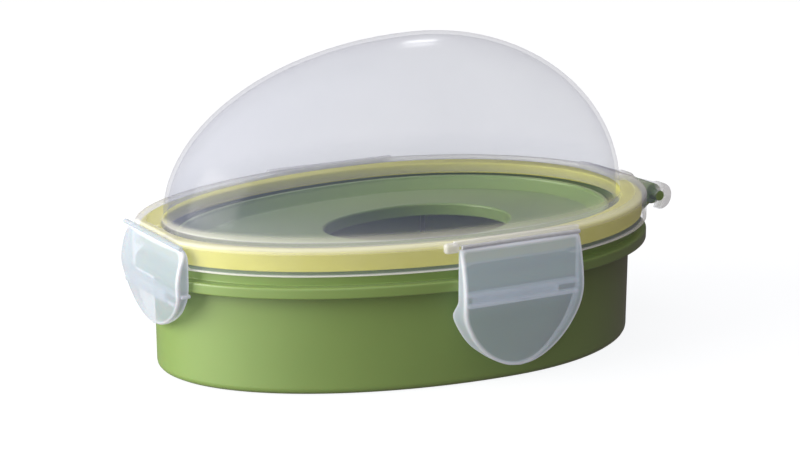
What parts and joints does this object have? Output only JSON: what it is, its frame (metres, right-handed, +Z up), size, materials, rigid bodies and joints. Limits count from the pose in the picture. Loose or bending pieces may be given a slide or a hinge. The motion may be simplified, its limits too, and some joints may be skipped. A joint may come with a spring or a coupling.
{
  "type": "snap lid food container",
  "caption": "Egg-shaped food container with a hinged tall domed lid, a silicone seal, snap latch flaps and a lift-out drain tray with an opening.",
  "frame": {"origin": "on the flat underside, under the widest section of the egg-shaped plan", "axes": "+X towards the hinged blunt end, -Y towards the front latch, +Z up"},
  "size_m": [0.2273, 0.156, 0.1197],
  "materials": {
    "green_polypropylene": "moulded satin",
    "clear_lid_plastic": "clear, slightly hazy, glossy",
    "yellow_silicone": "soft satin",
    "milky_latch_plastic": "milky translucent"
  },
  "bodies": {
    "base": {"base_tub": "green_polypropylene", "hinge_pin": "green_polypropylene"},
    "tray": {"drain_tray": "green_polypropylene"},
    "lid": {"domed_lid": "clear_lid_plastic", "lid_seal": "yellow_silicone", "film_hinge_front": "milky_latch_plastic", "film_hinge_rear": "milky_latch_plastic", "film_hinge_end": "milky_latch_plastic"},
    "front_latch": {"latch_front": "milky_latch_plastic"},
    "rear_latch": {"latch_rear": "milky_latch_plastic"},
    "end_latch": {"latch_end": "milky_latch_plastic"}
  },
  "joints": [
    {"name": "lid_hinge", "type": "hinge", "parent": "base", "child": "lid", "pos_m": [0.1, 0, 0.047], "axis": [0, 1, 0], "range_deg": [0, 110]},
    {"name": "front_latch_hinge", "type": "hinge", "parent": "lid", "child": "front_latch", "pos_m": [-0.0037, -0.0718, 0.0544], "axis": [-1, 0, 0], "range_deg": [0, 135]},
    {"name": "rear_latch_hinge", "type": "hinge", "parent": "lid", "child": "rear_latch", "pos_m": [-0.0037, 0.0718, 0.0544], "axis": [1, 0, 0], "range_deg": [0, 135]},
    {"name": "end_latch_hinge", "type": "hinge", "parent": "lid", "child": "end_latch", "pos_m": [-0.1168, 0, 0.0544], "axis": [0, 1, 0], "range_deg": [0, 135]},
    {"name": "tray_lift", "type": "slide", "parent": "base", "child": "tray", "axis": [0, 0, 1], "range_m": [0, 0.014]}
  ]
}
